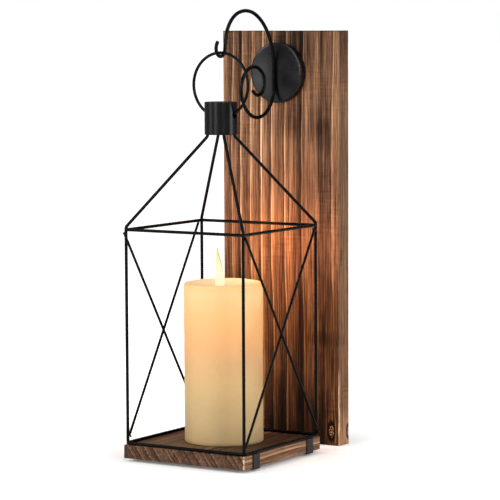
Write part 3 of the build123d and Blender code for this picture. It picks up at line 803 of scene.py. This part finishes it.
def make_wax_mesh(work):
    """The wax body as rows of vertices, with one vertex at each end of its axis."""
    rows = []
    for radius, height in wax_profile():
        if radius < CAD_MARGIN:
            rows.append([work.verts.new(wax_axis + Vector((0, 0, height - WAX_HEIGHT / 2)))])
            continue
        row = []
        for index in range(WAX_AROUND):
            angle = math.tau * index / WAX_AROUND
            row.append(work.verts.new(wax_vertex(angle, radius, height)))
        rows.append(row)
    for lower, upper in zip(rows, rows[1:]):
        for index in range(WAX_AROUND):
            after = (index + 1) % WAX_AROUND
            if len(lower) == 1:
                work.faces.new((lower[0], upper[after], upper[index]))
            elif len(upper) == 1:
                work.faces.new((lower[index], lower[after], upper[0]))
            else:
                work.faces.new((lower[index], lower[after], upper[after], upper[index]))


def wax_material():
    """Ivory wax, lit from inside near the top by the lamp."""
    graph = Graph("ivory_wax")
    height = graph.math("DIVIDE", graph.sub(graph.axis(Z), wax_low.z), WAX_HEIGHT)
    cloud = graph.noise(26.0, 3.0, 0.5)
    mottle = graph.noise(210.0, 4.0, 0.6)
    body = graph.step(mottle, 0.4, 0.75, 0.0, 0.25)
    body = graph.mix(body, srgb(178, 151, 107), srgb(166, 139, 98))
    body = graph.mix(graph.step(cloud, 0.3, 0.75, 0.0, 0.3), body, srgb(184, 158, 113))
    shift = graph.mul(graph.sub(cloud, 0.5), 0.05)
    glow = graph.ramp(graph.add(height, shift), [
        (0.05, (0.0, 0.0, 0.0, 1.0)), (0.2, (0.03, 0.012, 0.001, 1.0)),
        (0.35, (0.12, 0.06, 0.013, 1.0)), (0.5, (0.20, 0.06, 0.010, 1.0)),
        (0.64, (0.38, 0.085, 0.006, 1.0)), (0.79, (0.47, 0.17, 0.03, 1.0)),
        (0.93, (0.46, 0.27, 0.11, 1.0)), (1.0, (0.44, 0.22, 0.07, 1.0)),
    ])
    away = graph.vector("SUBTRACT", graph.place, tuple(wax_axis))
    away = graph.vector("MULTIPLY", away, (1 / WAX_RADIUS, 1 / WAX_RADIUS, 0.0))
    dish = graph.step(graph.vector("LENGTH", away), 0.78, 0.95, 1.0, 0.0)
    dish = graph.mul(dish, graph.step(height, 0.92, 0.95))
    glow = graph.mix(dish, glow, (0.33, 0.26, 0.16, 1.0))
    body = graph.mix(dish, body, srgb(164, 146, 124))
    graph.bump(graph.add(graph.mul(mottle, 0.6), cloud), 0.25 * MM, 0.35)
    graph.set(Base_Color=body, Roughness=graph.step(mottle, 0.3, 0.7, 0.42, 0.55))
    graph.set(Emission_Color=glow, Emission_Strength=1.0, Specular_IOR_Level=0.3)
    graph.set(Subsurface_Weight=0.15, Subsurface_Radius=(0.012, 0.006, 0.003), Subsurface_Scale=1.0)
    return graph.material


flame_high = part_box("flame_petal")[1]


def flame_material():
    """Thin translucent plastic, bright at the root and amber near the tip."""
    graph = Graph("flame_plastic")
    start = wax_high.z - 5 * MM
    height = graph.math("DIVIDE", graph.sub(graph.axis(Z), start), flame_high.z - start)
    flow = graph.noise(1.0, 3.0, 0.6, stretch=(400, 400, 60))
    glow = graph.ramp(graph.add(height, graph.mul(graph.sub(flow, 0.5), 0.14)), [
        (0.0, srgb(255, 240, 204)), (0.4, srgb(255, 246, 220)), (0.66, srgb(253, 232, 178)),
        (0.84, srgb(244, 206, 126)), (0.94, srgb(206, 160, 84)), (1.0, srgb(120, 92, 52)),
    ])
    facing = graph.node("ShaderNodeNewGeometry").outputs["Normal"]
    rim = graph.step(graph.math("ABSOLUTE", graph.axis(X, facing)), 0.35, 0.85)
    glow = graph.mix(graph.mul(rim, graph.step(height, 0.3, 0.7)), glow, srgb(214, 158, 84))
    graph.set(Emission_Color=glow, Emission_Strength=0.85)
    graph.set(Base_Color=srgb(120, 104, 70), Roughness=0.4)
    graph.bump(flow, 0.05 * MM, 0.3)
    return graph.material


FLAME_VOXEL = 0.35 * MM


def make_flame():
    """The petal with its edges melted round."""
    piece = softened_copy("flame_leaf", "flame_petal", FLAME_VOXEL, rounds=6)
    piece.data.shade_smooth()
    return piece


def plastic(name, colour, roughness):
    """Moulded plastic with a fine spark-eroded texture."""
    graph = Graph(name)
    grain = graph.noise(1500.0, 2.0, 0.6)
    cloud = graph.noise(60.0, 3.0, 0.5)
    shaded = tuple(0.82 * value for value in colour[:3]) + (1.0,)
    tone = graph.mix(graph.step(cloud, 0.4, 0.8, 0.0, 0.25), colour, shaded)
    sheen = graph.step(cloud, 0.3, 0.7, roughness - 0.04, roughness + 0.06)
    graph.bump(grain, 0.02 * MM, 0.4)
    graph.set(Base_Color=tone, Roughness=sheen)
    return graph.material


WHITE_NODES = ("candle_housing", "battery_door", "battery_tube", "engine_tube", "led_bridge")
NICKEL_NODES = ("lower_contact", "upper_contact", "flame_pin", "flame_magnet")


def make_candle():
    """The wax and the flame, and the parts inside the candle."""
    wax = cut_like(to_object("wax_body", make_wax_mesh), "wax_shell")
    place_piece(wax, "candle", wax_material(), ["wax_shell"])
    place_piece(make_flame(), "flame", flame_material(), ["flame_petal"])
    paint(WHITE_NODES, plastic("white_plastic", srgb(226, 222, 208), 0.45))
    paint(["switch_slider"], plastic("black_plastic", srgb(34, 34, 36), 0.45))
    for node in ("battery_left", "battery_right"):
        paint([node], plastic("battery_jacket", srgb(60, 64, 78), 0.3))
    paint(NICKEL_NODES, plated_steel("nickel_steel", srgb(206, 198, 180)))
    paint(["circuit_board"], plastic("green_board", srgb(28, 92, 52), 0.35))
    paint(["drive_coil"], plated_steel("copper_coil", srgb(196, 116, 66)))
    paint(["led"], plastic("led_lens", srgb(255, 214, 140), 0.15))


# ---- Room, lights and camera ----

WHITE = (1.0, 1.0, 1.0, 1.0)
FLOOR_GAP = 0.2 * MM
FLOOR_SIZE = 30.0
FLOOR_LIFT = 0.85
FLOOR_LIFT_NEAR = 0.12


def add_floor():
    """A white ground just under the board, which takes only a soft shadow."""
    def fill(work):
        bmesh.ops.create_grid(work, x_segments=1, y_segments=1, size=FLOOR_SIZE)
        bmesh.ops.translate(work, verts=work.verts, vec=(0, 0, board_low.z - FLOOR_GAP))

    floor = to_object("floor", fill, smooth=False)
    graph = Graph("pale_floor")
    path = graph.node("ShaderNodeLightPath")
    away = graph.vector("SUBTRACT", graph.place, tuple((base_low + base_high) / 2))
    away = graph.vector("LENGTH", away)
    lift = graph.step(away, 70 * MM, 320 * MM, FLOOR_LIFT_NEAR, FLOOR_LIFT)
    graph.set(Emission_Strength=graph.mul(path.outputs["Is Camera Ray"], lift))
    graph.set(Emission_Color=WHITE, Base_Color=srgb(244, 244, 244))
    graph.set(Roughness=0.9, Specular_IOR_Level=0.1)
    floor.data.materials.append(graph.material)


def add_area(name, place, target, size, power):
    """A white area light that looks at a target."""
    light = bpy.data.lights.new(name, "AREA")
    light.shape = "RECTANGLE"
    light.size, light.size_y = size
    light.energy = power
    direction = Vector(target) - Vector(place)
    turn = direction.to_track_quat("-Z", "Y").to_matrix().to_4x4()
    linked(name, light).matrix_world = Matrix.Translation(place) @ turn


FLAME_LIGHT_POWER = 0.40
FLAME_LIGHT_COLOUR = (1.0, 0.42, 0.14)
FLAME_LIGHT_RADIUS = 12 * MM


def add_flame_light():
    """The warm light that the flame throws on the board."""
    light = bpy.data.lights.new("flame_light", "POINT")
    light.energy = FLAME_LIGHT_POWER
    light.color = FLAME_LIGHT_COLOUR
    light.shadow_soft_size = FLAME_LIGHT_RADIUS
    lamp = linked("flame_light", light)
    lamp.location = (wax_axis.x + 4 * MM, wax_axis.y + 50 * MM, wax_high.z + 38 * MM)
    lamp.visible_glossy = False


AMBIENT_STRENGTH = 0.30


def add_world():
    """A white backdrop that lights the object only softly."""
    world = bpy.data.worlds.new("studio")
    world.use_nodes = True
    tree = world.node_tree
    path = tree.nodes.new("ShaderNodeLightPath")
    strength = tree.nodes.new("ShaderNodeMapRange")
    strength.inputs["To Min"].default_value = AMBIENT_STRENGTH
    strength.inputs["To Max"].default_value = 1.0
    background = tree.nodes["Background"]
    background.inputs["Color"].default_value = WHITE
    tree.links.new(path.outputs["Is Camera Ray"], strength.inputs["Value"])
    tree.links.new(strength.outputs["Result"], background.inputs["Strength"])
    bpy.context.scene.world = world
    bpy.context.scene.view_settings.view_transform = "Standard"


# Each light is its name, place, target, size and power.
AREA_LIGHTS = (
    ("key_front", (-0.15, -2.0, 0.7), (0, -0.1, 0), (0.35, 1.4), 22),
    ("key_left", (-1.5, -1.2, 0.9), (0, -0.1, 0), (0.35, 0.6), 14),
    ("glint_left", (-1.35, -1.5, 0.05), (0.02, -0.02, 0.15), (0.45, 0.6), 3.6),
    ("key_right", (1.7, -1.5, 0.8), (0, -0.1, 0), (0.5, 1.0), 14),
    ("edge_right", (1.8, 0.55, 0.5), (0, -0.1, 0), (0.4, 1.4), 20),
    ("top", (0.2, -0.6, 2.0), (0, -0.1, -0.1), (1.6, 1.2), 10),
)


def add_lights():
    """A white studio, six soft lights and the flame."""
    add_world()
    for light in AREA_LIGHTS:
        add_area(*light)
    add_flame_light()


CAMERA_AZIMUTH = math.radians(32.12)
CAMERA_ELEVATION = math.radians(5.27)
CAMERA_ROLL = math.radians(-0.28)
CAMERA_DISTANCE = 2.4
CAMERA_AIM = Vector((0.0419, -0.1427, -0.0009))
CAMERA_LENS = 184.36


def add_camera():
    """A long lens a little to the right of the object and above it."""
    turn = Matrix.Rotation(CAMERA_AZIMUTH, 4, "Z")
    turn = turn @ Matrix.Rotation(math.pi / 2 - CAMERA_ELEVATION, 4, "X")
    turn = turn @ Matrix.Rotation(CAMERA_ROLL, 4, "Z")
    lens = bpy.data.cameras.new("camera")
    lens.lens = CAMERA_LENS
    camera = linked("camera", lens)
    back = turn.to_3x3() @ Vector((0, 0, 1))
    camera.matrix_world = Matrix.Translation(CAMERA_AIM + back * CAMERA_DISTANCE) @ turn
    bpy.context.scene.camera = camera


make_wood()
make_metal()
make_candle()
add_floor()
add_lights()
add_camera()
